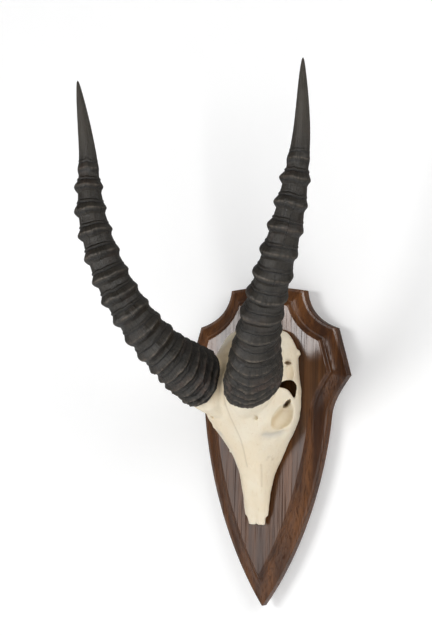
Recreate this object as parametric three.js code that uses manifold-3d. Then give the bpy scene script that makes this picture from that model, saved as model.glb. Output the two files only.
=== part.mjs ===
// Gazelle shield mount: a cut skull with two ringed horns on a moulded wooden shield.
// Millimetres, +Z up. The back of the shield is the plane y = 0 and the face looks along -Y.
// Most points are written as (x, out, z), where out is the distance from the wall.

import * as THREE from 'three';
import { mergeVertices } from 'three/addons/utils/BufferGeometryUtils.js';
import Module from 'manifold-3d';

const wasm = await Module();
wasm.setup();

// Shield
const SHIELD_HEIGHT = 330;
const SHIELD_THICK = 20;
const CREST_Z = SHIELD_HEIGHT / 2;
const TIP_Z = -SHIELD_HEIGHT / 2;
const TOP_CORNER = [42.5, 161.5];
const TOP_ARCH_BULGE = [22, 165];
const SCALLOP_PULL = [45.6, 132.7];
const SHOULDER_TOP = [78.5, 123];
const SHOULDER_BOTTOM = [92.8, 75];
const WAIST_PULLS = [[84, 63], [74.5, 50]];
const WAIST = [72.2, 36];
const FLANK_PULLS = [[66.5, -28], [44, -104]];
// Edge moulding as (inset, out) pairs: side, lower fillet, cove, upper fillet, step, face.
const MOULDING = [
  [0, 0], [0, 10.2], [0.6, 11], [3.1, 11], [8, 12.8], [12.6, 15.4],
  [14.5, 15.5], [15.2, 16.4], [16.8, 19.4], [18, SHIELD_THICK],
];
const RUN_STEPS = { arch: 5, scallop: 8, side: 1, flank: 18 };
const INSET_SAMPLES = 60;

// Horns: centre line of the right one from base to tip, then oval radius along the length.
const HORN_PATH = [
  [28.6, 93, 69], [49.8, 128, 94.5], [69, 155, 127], [90.5, 172, 171],
  [109, 178, 226.5], [118, 176.5, 293], [124, 187.5, 362.5],
];
const RIGHT_TIP_RISE = 2.5;
const LEFT_TIP_RISE = -1.5;
const HORN_RADII = [
  [0, 28], [20, 25.2], [46, 22.2], [90, 18.9], [142, 16.7], [188, 14.6], [211, 13.2],
  [240, 10.8], [265, 8.6], [300, 5.6], [330, 2.6], [345, 0.7],
];
const HORN_OVAL = 0.09;
const HORN_SIDES = 14;
const TIP_ROWS = 7;
const LENGTH_SAMPLES = 400;
const RING_STATIONS = [4, 10, 17, 25, 34.5, 46.5, 63, 82, 102, 122, 142.5, 165, 188, 211, 234, 252.5];
const RING_HEIGHT = 3.5;
const RING_HEIGHT_BASE = 1.6;
const RING_HEIGHT_TOP = 1.1;
const RING_FULL_FROM = 60;
const RING_HALF_LENGTH = 5;
const RING_SHOULDER = 0.45;
const RING_LEAD_IN = -8;
const OPEN_GAP = 9;
// Share of a ring's height that runs all round, and what the front of the horn adds to it.
const RIB_ALL_ROUND = 0.75;
const RIB_FRONT = 0.55;
// Base plane slant along the horn axis, towards the front and towards the middle.
const BASE_SLANT_FRONT = -6;
const BASE_SLANT_INNER = 3;

// Skull sections from nose to crown: z, ridge out, shoulder x and out, widest x and out.
const SKULL_SECTIONS = [
  [-80, 27, 5, 28, 8.6, 25],
  [-71.5, 29.5, 6, 30.5, 9.6, 26.5],
  [-70.8, 29.8, 7, 30.5, 13, 25.5],
  [-48, 37, 8.5, 36.5, 15.6, 27],
  [-28, 43.5, 10, 42.5, 20.5, 27.5],
  [-10, 52, 13, 49.5, 28.8, 27],
  [5, 62, 17, 58, 36, 30.5],
  [18, 74, 22, 69, 43, 37.5],
  [32, 88, 27, 80, 48, 46],
  [46, 99, 30, 90, 49.5, 46],
  [60, 102, 31, 92, 49, 40],
  [78, 94, 29, 84, 46.5, 35],
  [95, 77, 25, 66, 46, 28.5],
  [108, 58, 20, 50, 38.5, 28],
  [117, 41, 15, 37, 28.5, 27],
  [122, 30, 7, 29, 16, 26],
];
// Cheek point of a section, as shares of the way out and of the drop, and its narrowest cut edge.
const CHEEK_X = 0.9;
const CHEEK_DROP = 0.38;
const CUT_EDGE_LEAST = 0.6;
const SKULL_SIDE_STEPS = 11;
const SKULL_UNDERCUT = 3;
const CUT_FACE_OUT = SHIELD_THICK + 0.3;
const NOTCH = { halfWidth: 2.2, depth: 2.4 };
const ORBIT = { centre: [49, 53, 30.5], radii: [19, 19, 13.5] };
const ORBIT_SLOT = { centre: [45, 52, 43.5], radii: [9, 11, 3.5] };
const FOSSA_OUTLINE = [[29, 62], [36, 69], [46, 70.5], [52, 63], [52.5, 57], [50.5, 50.5], [42.5, 59]];
const FOSSA_OUTLINE_OUT = 45;
const FOSSA_DRIFT = 0.505;
const FOSSA_REACH = [15, 90];
const FOSSA_POINTS = 20;
const FORAMEN = { centre: [25, 82, 30.5], radii: [2, 7, 3] };
const PEDICLE_SCALE = 0.95;
const PEDICLE_ROOT_SCALE = 0.8;
const SEAT_SCALE = 1.25;
const PEDICLE_DEPTH = 40;
const SEAT_GAP = 0.3;

// Fittings on the back
const HANGER = { width: 56, height: 14, thick: 1.2, z: 120, teeth: 9, toothDepth: 3, toothedShare: 0.55 };
const RECESS = { width: 60, height: 20, depth: 3 };
const HANGER_SCREW = { x: 22, headRadius: 2.6, headThick: 1, shankRadius: 1.2, length: 9 };
const SKULL_SCREW = { upperZ: 84, lowerZ: 8, headRadius: 5, headBack: 0.3, shankRadius: 2.2, reach: 38 };
const SCREW_SLOT = { width: 1.2, depth: 0.8 };
const CLEARANCE = 0.3;
const PLATE_BACK = RECESS.depth - CLEARANCE - HANGER.thick;
const ROUND_SIDES = 12;
const ROUND_TURN = 0.11;
const BALL_SIDES = 16;
const BALL_ROWS = 10;
// Cutters run past the faces they open by PAST, and joined shapes sink into each other by SINK.
const PAST = 1;
const SINK = 0.2;
const WELD = 0.02;
const SEAM = 1e-4;

const DARK_WOOD = new THREE.MeshStandardMaterial({ color: 0x4e2f1c, roughness: 0.35, metalness: 0 });
const BONE = new THREE.MeshStandardMaterial({ color: 0xe8dcc3, roughness: 0.6, metalness: 0 });
const HORN = new THREE.MeshStandardMaterial({ color: 0x35322d, roughness: 0.45, metalness: 0 });
const STEEL = new THREE.MeshStandardMaterial({ color: 0xa8a9ab, roughness: 0.3, metalness: 1 });
const BRASS = new THREE.MeshStandardMaterial({ color: 0xb8944a, roughness: 0.35, metalness: 1 });

const point = (x, out, z) => new THREE.Vector3(x, -out, z);
const smooth = (t) => THREE.MathUtils.smoothstep(t, 0, 1);

// Value at position s in a table of [s, value] pairs, joined by straight lines.
function lookUp(table, s) {
  const after = table.findIndex(([station]) => station >= s);
  if (after === -1) {
    return table.at(-1)[1];
  }
  if (after === 0) {
    return table[0][1];
  }
  const [s0, v0] = table[after - 1];
  const [s1, v1] = table[after];
  return THREE.MathUtils.mapLinear(s, s0, s1, v0, v1);
}

// Closed mesh over a stack of rings with equal point counts, capped flat or as a fan at each end.
function skin(rings, capFan = false) {
  const count = rings[0].length;
  const positions = rings.flat().flatMap((p) => p.toArray());
  const index = [];
  for (let row = 0; row + 1 < rings.length; row += 1) {
    for (let k = 0; k < count; k += 1) {
      const next = (k + 1) % count;
      const a = row * count + k;
      const b = row * count + next;
      index.push(a, b, b + count, a, b + count, a + count);
    }
  }
  capRing(rings[0], 0, index, positions, capFan, true);
  capRing(rings.at(-1), (rings.length - 1) * count, index, positions, capFan, false);
  const geometry = new THREE.BufferGeometry();
  geometry.setAttribute('position', new THREE.Float32BufferAttribute(positions, 3));
  geometry.setIndex(index);
  return faceOut(geometry);
}

function capRing(ring, start, index, positions, fan, reversed) {
  const add = (a, b, c) => (reversed ? index.push(c, b, a) : index.push(a, b, c));
  if (fan) {
    const middle = new THREE.Vector3();
    ring.forEach((p) => middle.addScaledVector(p, 1 / ring.length));
    const hub = positions.length / 3;
    positions.push(...middle.toArray());
    ring.forEach((p, k) => add(start + k, start + ((k + 1) % ring.length), hub));
    return;
  }
  const normal = new THREE.Vector3();
  ring.forEach((p, k) => normal.add(new THREE.Vector3().crossVectors(p, ring[(k + 1) % ring.length])));
  const turn = new THREE.Quaternion().setFromUnitVectors(normal.normalize(), new THREE.Vector3(0, 0, 1));
  const flat = ring.map((p) => p.clone().applyQuaternion(turn));
  const contour = flat.map((p) => new THREE.Vector2(p.x, p.y));
  for (const [a, b, c] of THREE.ShapeUtils.triangulateShape(contour, [])) {
    add(start + a, start + b, start + c);
  }
}

// Turns every triangle round if the mesh encloses a negative volume.
function faceOut(geometry) {
  const position = geometry.getAttribute('position');
  const index = geometry.getIndex();
  const corner = [new THREE.Vector3(), new THREE.Vector3(), new THREE.Vector3()];
  let volume = 0;
  for (let i = 0; i < index.count; i += 3) {
    corner.forEach((p, k) => p.fromBufferAttribute(position, index.getX(i + k)));
    volume += corner[0].dot(corner[1].cross(corner[2]));
  }
  if (volume < 0) {
    for (let i = 0; i < index.count; i += 3) {
      const first = index.getX(i);
      index.setX(i, index.getX(i + 1));
      index.setX(i + 1, first);
    }
  }
  return geometry;
}

function toSolid(geometry) {
  const bare = geometry.clone();
  bare.deleteAttribute('normal');
  bare.deleteAttribute('uv');
  const merged = mergeVertices(bare, SEAM);
  return new wasm.Manifold(new wasm.Mesh({
    numProp: 3,
    vertProperties: new Float32Array(merged.getAttribute('position').array),
    triVerts: new Uint32Array(merged.getIndex().array),
  }));
}

// Corners closer than WELD become one, and the triangles that this flattens are dropped.
function toGeometry(solid) {
  const mesh = solid.getMesh();
  const cut = new THREE.BufferGeometry();
  cut.setAttribute('position', new THREE.Float32BufferAttribute(mesh.vertProperties, 3));
  cut.setIndex([...mesh.triVerts]);
  const welded = mergeVertices(cut, WELD);
  const index = welded.getIndex().array;
  const kept = [];
  for (let i = 0; i < index.length; i += 3) {
    const [a, b, c] = index.slice(i, i + 3);
    if (a !== b && b !== c && c !== a) {
      kept.push(a, b, c);
    }
  }
  welded.setIndex(kept);
  return welded;
}

function toMesh(name, geometry, material) {
  geometry.computeVertexNormals();
  const mesh = new THREE.Mesh(geometry, material);
  mesh.name = name;
  return mesh;
}

// Cylinder along Y between two distances from the wall.
function roundBar(x, z, radius, from, to) {
  const bar = new THREE.CylinderGeometry(radius, radius, to - from, ROUND_SIDES).rotateY(ROUND_TURN);
  return bar.translate(x, -(from + to) / 2, z);
}

// Cone frustum along Y, wide at the wall side.
function countersink(x, z, wide, narrow, from, to) {
  const cone = new THREE.CylinderGeometry(wide, narrow, to - from, ROUND_SIDES).rotateY(ROUND_TURN);
  return cone.translate(x, -(from + to) / 2, z);
}

function block(width, depth, height, x, out, z) {
  return new THREE.BoxGeometry(width, depth, height).translate(x, -out, z);
}

function ellipsoid({ centre, radii }, side) {
  const ball = new THREE.SphereGeometry(1, BALL_SIDES, BALL_ROWS).scale(...radii);
  return ball.translate(side * centre[0], -centre[1], centre[2]);
}

// Right half of the shield outline, as runs that are parted at its sharp corners
function shieldRuns() {
  const arch = new THREE.Path().moveTo(0, CREST_Z).quadraticCurveTo(...TOP_ARCH_BULGE, ...TOP_CORNER);
  const scallop = new THREE.Path().moveTo(...TOP_CORNER).quadraticCurveTo(...SCALLOP_PULL, ...SHOULDER_TOP);
  const side = new THREE.Path().moveTo(...SHOULDER_TOP).lineTo(...SHOULDER_BOTTOM);
  const flank = new THREE.Path().moveTo(...SHOULDER_BOTTOM)
    .bezierCurveTo(...WAIST_PULLS[0], ...WAIST_PULLS[1], ...WAIST)
    .bezierCurveTo(...FLANK_PULLS[0], ...FLANK_PULLS[1], 0, TIP_Z);
  return [
    { path: arch, steps: RUN_STEPS.arch },
    { path: scallop, steps: RUN_STEPS.scallop },
    { path: side, steps: RUN_STEPS.side },
    { path: flank, steps: RUN_STEPS.flank },
  ];
}

// A run moved inwards, as a fine line of points.
function insetRun(path, inset) {
  return Array.from({ length: INSET_SAMPLES + 1 }, (_, k) => {
    const at = path.getPointAt(k / INSET_SAMPLES);
    const along = path.getTangentAt(k / INSET_SAMPLES);
    return new THREE.Vector2(at.x + along.y * inset, at.y - along.x * inset);
  });
}

// Where two lines of points cross: the segment of each and the point, or null.
function crossing(first, second) {
  for (let i = first.length - 2; i >= 0; i -= 1) {
    for (let j = 0; j + 1 < second.length; j += 1) {
      const u = first[i + 1].clone().sub(first[i]);
      const v = second[j + 1].clone().sub(second[j]);
      const w = second[j].clone().sub(first[i]);
      const area = u.cross(v);
      const s = w.cross(v) / area;
      const t = w.cross(u) / area;
      if (s >= 0 && s <= 1 && t >= 0 && t <= 1) {
        return { i, j, at: first[i].clone().addScaledVector(u, s) };
      }
    }
  }
  return null;
}

// Points at even spacing along a line of points.
function spread(line, steps) {
  const curve = new THREE.CurvePath();
  for (let k = 0; k + 1 < line.length; k += 1) {
    if (line[k].distanceTo(line[k + 1]) > SEAM) {
      curve.add(new THREE.LineCurve(line[k], line[k + 1]));
    }
  }
  return Array.from({ length: steps + 1 }, (_, k) => curve.getPoint(k / steps));
}

// The whole outline moved inwards, mitred at the corners, with the same count of points each time.
function insetOutline(inset) {
  const runs = shieldRuns();
  const lines = runs.map(({ path }) => insetRun(path, inset));
  const middle = [new THREE.Vector2(0, CREST_Z + PAST), new THREE.Vector2(0, TIP_Z - PAST)];
  lines.forEach((line, k) => {
    const next = lines[k + 1] ?? middle;
    const met = inset > 0 ? crossing(line, next) : null;
    if (met) {
      line.splice(met.i + 1, Infinity, met.at);
      if (next !== middle) {
        next.splice(0, met.j + 1, met.at.clone());
      }
    }
  });
  const right = lines.flatMap((line, k) => spread(line, runs[k].steps).slice(k === 0 ? 0 : 1));
  right[0].x = 0;
  right.at(-1).x = 0;
  const left = right.slice(1, -1).reverse().map((p) => new THREE.Vector2(-p.x, p.y));
  return [...right, ...left];
}

function makeShield() {
  const rings = MOULDING.map(([inset, out]) => insetOutline(inset).map((p) => point(p.x, out, p.y)));
  let solid = toSolid(skin(rings));
  const { width, height, depth } = RECESS;
  const recess = block(width, depth + PAST, height, 0, (depth - PAST) / 2, HANGER.z);
  solid = solid.subtract(toSolid(recess));
  for (const side of [-1, 1]) {
    const { x, shankRadius, length } = HANGER_SCREW;
    const hole = roundBar(side * x, HANGER.z, shankRadius + CLEARANCE, 0, length + CLEARANCE);
    solid = solid.subtract(toSolid(hole));
  }
  for (const z of [SKULL_SCREW.upperZ, SKULL_SCREW.lowerZ]) {
    solid = solid.subtract(screwHole(z, SHIELD_THICK + PAST));
  }
  return toMesh('shield', toGeometry(solid), DARK_WOOD);
}

// Horn centre line, mirrored for the left side, with a small difference in length between the two
function hornCurve(side) {
  const rise = side > 0 ? RIGHT_TIP_RISE : LEFT_TIP_RISE;
  const path = HORN_PATH.map(([x, out, z], k) => {
    const lift = rise * (k / (HORN_PATH.length - 1)) ** 2;
    return point(side * x, out, z + lift);
  });
  const curve = new THREE.CatmullRomCurve3(path, false, 'centripetal');
  curve.arcLengthDivisions = LENGTH_SAMPLES;
  return curve;
}

// Height of the rings at distance s along the horn.
function ringLift(s) {
  let lift = 0;
  RING_STATIONS.forEach((station, k) => {
    const gap = Math.min(station - (RING_STATIONS[k - 1] ?? RING_LEAD_IN), RING_HALF_LENGTH * 2);
    const reach = Math.abs(s - station) / (gap / 2);
    const base = THREE.MathUtils.lerp(RING_HEIGHT_BASE, RING_HEIGHT, smooth(station / RING_FULL_FROM));
    const height = k === RING_STATIONS.length - 1 ? RING_HEIGHT_TOP : base;
    lift = Math.max(lift, height * (1 - smooth(reach)));
  });
  return lift;
}

// Rows along the horn: at every ring crest, beside it and half way to the next, then up the tip.
function hornStations(length) {
  const rows = [0];
  RING_STATIONS.forEach((station, k) => {
    const next = RING_STATIONS[k + 1] ?? length;
    const open = next - station > OPEN_GAP;
    rows.push(station);
    if (open) {
      rows.push(station + RING_HALF_LENGTH * RING_SHOULDER, station + RING_HALF_LENGTH);
    }
    rows.push(open ? next - RING_HALF_LENGTH : (station + next) / 2);
    if (open && next < length) {
      rows.push(next - RING_HALF_LENGTH * RING_SHOULDER);
    }
  });
  const last = RING_STATIONS.at(-1) + RING_HALF_LENGTH;
  const kept = rows.filter((s) => s <= last);
  for (let k = 1; k <= TIP_ROWS; k += 1) {
    kept.push(THREE.MathUtils.lerp(last, length, k / TIP_ROWS));
  }
  return kept;
}

// Axis, front and inner directions at each station, carried down from the tip without twist.
function hornFrames(side) {
  const curve = hornCurve(side);
  const length = curve.getLength();
  let front = point(0, 1, 0);
  const frames = [];
  for (const s of hornStations(length).reverse()) {
    const u = Math.min(s / length, 1);
    const axis = curve.getTangentAt(u);
    front = front.clone().addScaledVector(axis, -front.dot(axis)).normalize();
    const inner = new THREE.Vector3().crossVectors(front, axis).multiplyScalar(side);
    frames.unshift({ s, centre: curve.getPointAt(u), axis, front, inner });
  }
  return frames;
}

// One oval ring of points. Ring ribs stand highest on the front of the horn.
function hornRing(frame, radius, lift, slant) {
  return Array.from({ length: HORN_SIDES }, (_, k) => {
    const angle = (k / HORN_SIDES) * Math.PI * 2;
    const c = Math.cos(angle);
    const s = Math.sin(angle);
    const rib = lift * (RIB_ALL_ROUND + RIB_FRONT * c);
    const along = slant * (BASE_SLANT_FRONT * c + BASE_SLANT_INNER * s);
    return frame.centre.clone()
      .addScaledVector(frame.front, (radius * (1 + HORN_OVAL) + rib) * c)
      .addScaledVector(frame.inner, (radius * (1 - HORN_OVAL) + rib) * s)
      .addScaledVector(frame.axis, along);
  });
}

function makeHorn(side, name) {
  const fade = RING_STATIONS[5];
  const rings = hornFrames(side).map((frame) => {
    const slant = 1 - smooth(frame.s / fade);
    return hornRing(frame, lookUp(HORN_RADII, frame.s), ringLift(frame.s), slant);
  });
  return toMesh(name, skin(rings, true), HORN);
}

// Bone stump under a horn, and the room that the horn itself needs.
function pedicleAndSeat(side) {
  const base = hornFrames(side)[0];
  const radius = lookUp(HORN_RADII, 0);
  const slide = (distance, scale) => {
    const moved = { ...base, centre: base.centre.clone().addScaledVector(base.axis, distance) };
    return hornRing(moved, radius * scale, 0, 1);
  };
  const pedicle = skin([slide(-PEDICLE_DEPTH, PEDICLE_ROOT_SCALE), slide(-SEAT_GAP, PEDICLE_SCALE)]);
  const seat = skin([slide(-SEAT_GAP, SEAT_SCALE), slide(PEDICLE_DEPTH, SEAT_SCALE)]);
  return { pedicle: toSolid(pedicle), seat: toSolid(seat) };
}

// Right half of a skull section as a smooth curve from the ridge to the cut edge.
function skullSection([z, ridge, shoulderX, shoulderOut, wideX, wideOut]) {
  const right = new THREE.CatmullRomCurve3([
    point(0, ridge, z),
    point(shoulderX, shoulderOut, z),
    point(wideX * CHEEK_X, THREE.MathUtils.lerp(wideOut, shoulderOut, CHEEK_DROP), z),
    point(wideX, wideOut, z),
    point(Math.max(wideX - SKULL_UNDERCUT, wideX * CUT_EDGE_LEAST), CUT_FACE_OUT, z),
  ], false, 'centripetal').getSpacedPoints(SKULL_SIDE_STEPS);
  const left = right.slice(1).reverse().map((p) => new THREE.Vector3(-p.x, p.y, p.z));
  return [...left, ...right];
}

function fossaCutter(side) {
  const corners = [...FOSSA_OUTLINE, FOSSA_OUTLINE[0]];
  const shape = new THREE.SplineCurve(corners.map(([x, z]) => new THREE.Vector2(x, z)));
  const outline = shape.getPoints(FOSSA_POINTS).slice(0, -1);
  const ringAt = (out) => outline.map((p) => {
    return point(side * (p.x + (out - FOSSA_OUTLINE_OUT) * FOSSA_DRIFT), out, p.y);
  });
  return toSolid(skin(FOSSA_REACH.map(ringAt)));
}

// Hole for a countersunk screw from the back, through the shield and into the skull.
function screwHole(z, depth) {
  const { headRadius, shankRadius } = SKULL_SCREW;
  const headDepth = headRadius - shankRadius;
  const cone = countersink(0, z, headRadius + CLEARANCE, shankRadius + CLEARANCE, 0, headDepth);
  const shank = roundBar(0, z, shankRadius + CLEARANCE, -PAST, depth);
  return toSolid(cone).add(toSolid(shank));
}

function makeSkull() {
  let solid = toSolid(skin(SKULL_SECTIONS.map(skullSection)));
  for (const side of [-1, 1]) {
    const { pedicle, seat } = pedicleAndSeat(side);
    solid = solid.add(pedicle).subtract(seat);
    solid = solid.subtract(toSolid(ellipsoid(ORBIT, side)));
    solid = solid.subtract(toSolid(ellipsoid(ORBIT_SLOT, side)));
    solid = solid.subtract(toSolid(ellipsoid(FORAMEN, side)));
    solid = solid.subtract(fossaCutter(side));
  }
  const noseZ = SKULL_SECTIONS[0][0];
  const { halfWidth, depth } = NOTCH;
  const corners = [[-halfWidth, noseZ - PAST], [halfWidth, noseZ - PAST], [0, noseZ + depth]];
  const notchAt = (out) => corners.map(([x, z]) => point(x, out, z));
  solid = solid.subtract(toSolid(skin([notchAt(SHIELD_THICK - PAST), notchAt(SHIELD_THICK * 2)])));
  for (const z of [SKULL_SCREW.upperZ, SKULL_SCREW.lowerZ]) {
    solid = solid.subtract(screwHole(z, SKULL_SCREW.reach + CLEARANCE));
  }
  return toMesh('skull', toGeometry(solid), BONE);
}

function makeSkullScrew(z, name) {
  const { headRadius, headBack, shankRadius, reach } = SKULL_SCREW;
  const headDepth = headRadius - shankRadius;
  const head = countersink(0, z, headRadius, shankRadius, headBack, headDepth);
  const shank = roundBar(0, z, shankRadius, headDepth - SINK, reach);
  const slot = block(headRadius * 3, SCREW_SLOT.depth * 2, SCREW_SLOT.width, 0, 0, z);
  const solid = toSolid(head).add(toSolid(shank)).subtract(toSolid(slot));
  return toMesh(name, toGeometry(solid), BRASS);
}

// Toothed hanging strip, its lower edge cut in a row of teeth for a nail
function makeHangerPlate() {
  const { width, height, thick, z, teeth, toothDepth, toothedShare } = HANGER;
  const strip = new THREE.Shape();
  const low = z - height / 2;
  strip.moveTo(-width / 2, z + height / 2);
  strip.lineTo(width / 2, z + height / 2);
  strip.lineTo(width / 2, low);
  const span = width * toothedShare;
  strip.lineTo(span / 2, low);
  for (let k = 0; k < teeth; k += 1) {
    const x0 = span / 2 - (k * span) / teeth;
    strip.lineTo(x0 - span / teeth / 2, low + toothDepth);
    strip.lineTo(x0 - span / teeth, low);
  }
  strip.lineTo(-width / 2, low);
  const plate = new THREE.ExtrudeGeometry(strip, { depth: thick, bevelEnabled: false });
  plate.rotateX(Math.PI / 2).translate(0, -PLATE_BACK, 0);
  let solid = toSolid(plate);
  for (const side of [-1, 1]) {
    const radius = HANGER_SCREW.shankRadius + CLEARANCE;
    const hole = roundBar(side * HANGER_SCREW.x, z, radius, -PAST, RECESS.depth + PAST);
    solid = solid.subtract(toSolid(hole));
  }
  return toMesh('hanger_plate', toGeometry(solid), STEEL);
}

function makeHangerScrew(side, name) {
  const { x, headRadius, headThick, shankRadius, length } = HANGER_SCREW;
  const headFront = PLATE_BACK - CLEARANCE;
  const head = roundBar(side * x, HANGER.z, headRadius, headFront - headThick, headFront);
  const shank = roundBar(side * x, HANGER.z, shankRadius, headFront - SINK, length);
  return toMesh(name, toGeometry(toSolid(head).add(toSolid(shank))), STEEL);
}

const mount = new THREE.Group();
mount.add(
  makeShield(),
  makeSkull(),
  makeHorn(-1, 'left_horn'),
  makeHorn(1, 'right_horn'),
  makeHangerPlate(),
  makeHangerScrew(-1, 'hanger_screw_left'),
  makeHangerScrew(1, 'hanger_screw_right'),
  makeSkullScrew(SKULL_SCREW.upperZ, 'skull_screw_upper'),
  makeSkullScrew(SKULL_SCREW.lowerZ, 'skull_screw_lower'),
);

export default mount;
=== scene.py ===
"""Gazelle shield mount: a cut skull with two ringed horns on a moulded wooden shield."""

import math

import bmesh
import bpy
import numpy as np
from mathutils import Matrix, Vector, noise


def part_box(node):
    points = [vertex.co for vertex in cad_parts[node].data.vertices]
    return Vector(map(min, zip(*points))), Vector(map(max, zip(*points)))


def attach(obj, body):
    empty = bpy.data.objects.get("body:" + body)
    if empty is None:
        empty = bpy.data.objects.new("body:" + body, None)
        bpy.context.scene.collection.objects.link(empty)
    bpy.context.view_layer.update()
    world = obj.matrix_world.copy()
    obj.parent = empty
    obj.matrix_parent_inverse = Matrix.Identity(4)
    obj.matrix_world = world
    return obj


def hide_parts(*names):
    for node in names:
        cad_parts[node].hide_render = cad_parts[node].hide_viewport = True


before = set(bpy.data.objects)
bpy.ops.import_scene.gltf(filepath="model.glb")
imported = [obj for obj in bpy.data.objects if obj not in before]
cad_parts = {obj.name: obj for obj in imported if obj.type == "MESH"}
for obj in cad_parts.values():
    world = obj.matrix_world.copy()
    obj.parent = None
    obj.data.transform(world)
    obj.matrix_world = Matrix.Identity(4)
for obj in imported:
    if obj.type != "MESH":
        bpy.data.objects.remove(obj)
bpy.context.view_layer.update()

bl_info = {
    "name": "Gazelle Shield Mount",
    "version": (1, 0, 0),
    "blender": (4, 5, 0),
    "location": "View3D > Sidebar > Shield Mount",
    "description": "Builds a horned skull on a moulded wooden wall shield",
    "category": "Add Mesh",
}

# Drawings are in millimetres, as (x, out, z) with out measured from the wall, and meshes in metres.
MM = 0.001
BODY = "root"
SHIELD_LOW, SHIELD_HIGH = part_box("shield")

# Shield outline, right half, from the crest to the tip
CREST = (0, 165)
TOP_CORNER = (42.5, 161.5)
TOP_ARCH_BULGE = (22, 165)
SCALLOP_PULL = (45.6, 132.7)
SHOULDER_TOP = (78.5, 123)
SHOULDER_BOTTOM = (92.8, 75)
WAIST_PULLS = ((84, 63), (74.5, 50))
WAIST = (72.2, 36)
FLANK_PULLS = ((66.5, -28), (44, -104))
TIP = (0, -165)
RUN_STEPS = (14, 26, 8, 64)
INSET_STEPS = 90
# Edge moulding as (inset, out): side, lower arris and flat, cove, upper flat, step, face
MOULDING = (
    (0.6, 0), (0, 0.6), (0, 3.5), (0, 7), (0, 10.1), (0.15, 10.6), (0.5, 10.86), (0.75, 10.9),
    (2.7, 11.02), (2.95, 11.06), (3.3, 11.13), (4.2, 11.35), (6, 11.95), (8, 12.8), (10, 13.85),
    (11.6, 14.85), (12.2, 15.25), (12.5, 15.43), (12.75, 15.48), (14.3, 15.58), (14.5, 15.64),
    (14.8, 15.9), (15.2, 16.5), (15.8, 17.6), (16.4, 18.8), (16.9, 19.5), (17.4, 19.88), (18, 20), (18.6, 20),
)
SHIELD_THICK = 20

# Horn centre line of the right side, base to tip, and radius by distance along it
HORN_PATH = (
    (28.6, 93, 69), (49.8, 128, 94.5), (69, 155, 127), (90.5, 172, 171),
    (109, 178, 226.5), (118, 176.5, 293), (124, 187.5, 362.5),
)
TIP_RISE = {1: 2.5, -1: -1.5}
BASE_SPREAD = {1: 0, -1: 3}
HORN_LENGTH = 345
HORN_RADII = (
    (0, 28), (20, 25.2), (46, 22.2), (90, 18.9), (142, 16.7), (188, 14.6), (211, 13.2),
    (240, 11), (265, 9.1), (300, 6.4), (330, 3.4), (345, 0.8),
)
HORN_OVAL = 0.09
RING_STATIONS = (4, 10, 17, 25, 34.5, 46.5, 63, 82, 102, 122, 142.5, 165, 188, 211, 234, 252.5)
RING_HEIGHT = 3.5
RING_HEIGHT_BASE = 2.1
RING_HEIGHT_TOP = 1.1
RING_FULL_FROM = 60
RING_HALF_LENGTH = 6
BASE_SLANT_FRONT = -8.5
BASE_SLANT_INNER = -2
SLANT_FADE = 46.5
SPINE_POINTS = 240
HORN_ROWS = 620
HORN_SIDES = 132
HORN_SEEDS = {1: 8.0, -1: -2.0}
# Finer forms of the horn: rough foot, sharp lower rings, folds by each ring, blunt tip
FOOT_LENGTH = 75
SHARP_RINGS = (30, 75)
RING_WANDER = 5
SWELL_LENGTH = (2, 13)
FOLD_WIDTH = 0.9
LIP_WIDTH = 1
CREST_LINE_WIDTH = 0.6
# Width of the painted shade line just under each ring
UNDER_RING_SHADE_WIDTH = 0.8
WRINKLE_PITCH = 3.2
RAGGED_EDGE = 1.6
BASE_CAP_SHARE = 0.012
TIP_FADE = (0.86, 0.99)
TIP_ROUND_SHARE = 0.006

# Skull sections from nose to crown: z, ridge out, shoulder x and out, widest x and out
SKULL_SECTIONS = (
    (-80, 27, 5, 28, 9.2, 25),
    (-71.5, 29.5, 6, 30.5, 10.6, 26.5),
    (-70.8, 29.8, 7, 30.5, 12.8, 25.5),
    (-48, 37, 8.5, 36.5, 15.6, 27),
    (-28, 43.5, 10, 42, 20, 25),
    (-10, 52, 12.5, 49, 28, 23.5),
    (5, 62, 17, 58, 36, 29.5),
    (18, 74, 22, 69, 43, 37.5),
    (32, 88, 27, 80, 48, 46),
    (46, 99, 30, 90, 49.5, 46),
    (60, 102, 31, 92, 49, 40),
    (78, 94, 29, 84, 46, 35),
    (95, 77, 25, 66, 44.5, 28.5),
    (108, 58, 20, 50, 39.5, 28),
    (117, 41, 15, 37, 32, 27),
    (122, 30, 7, 29, 20, 26),
)
SKULL_ROW_STEP = 0.8
SKULL_SIDE_STEPS = 48
SKULL_UNDERCUT = 3
CUT_FACE_OUT = SHIELD_THICK + 0.3
ORBIT = ((47.4, 59.6, 31.2), (17, 23, 11.5), 29, -50)
FORAMEN = ((25, 82, 30.8), (1.9, 8, 3.4), 0, 20)
# Slit under the brow and hollow of the temple, both turned towards the side of the face
BROW_SLIT = ((43.6, 48.2, 45.0), (6, 15, 2.6), 29, -52)
TEMPLE_HOLLOW = ((45.6, 44.4, 77.7), (6.5, 7.4, 8.8), 29, 8)
TEMPLE_HOLE = ((41.5, 43.4, 86.0), (4.8, 9, 1.5), 29, 0)
# Spines at the back of the skull and a spur on the left jaw: foot, tip, foot radius
NUCHAL_SPINE = ((37, 26, 94), (45.2, 23.5, 97.6), 7)
JAW_SPUR = ((-27.5, 29, 2), (-31.2, 28, -7), 3.2)
FOSSA_OUTLINE = ((29, 62), (36, 67.2), (46.5, 69), (52.6, 64), (52.5, 57), (50.5, 50.5), (42.5, 59))
FOSSA_OUTLINE_OUT = 45
FOSSA_DRIFT = 0.505
NOTCH_HALF = 2.2
NOTCH_DEPTH = 2.4
PEDICLE_DEPTH = 40
SEAT_GAP = 0.3
PEDICLE_RINGS = ((-PEDICLE_DEPTH, 0.8), (-10, 0.98), (-SEAT_GAP, 0.97))
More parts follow.
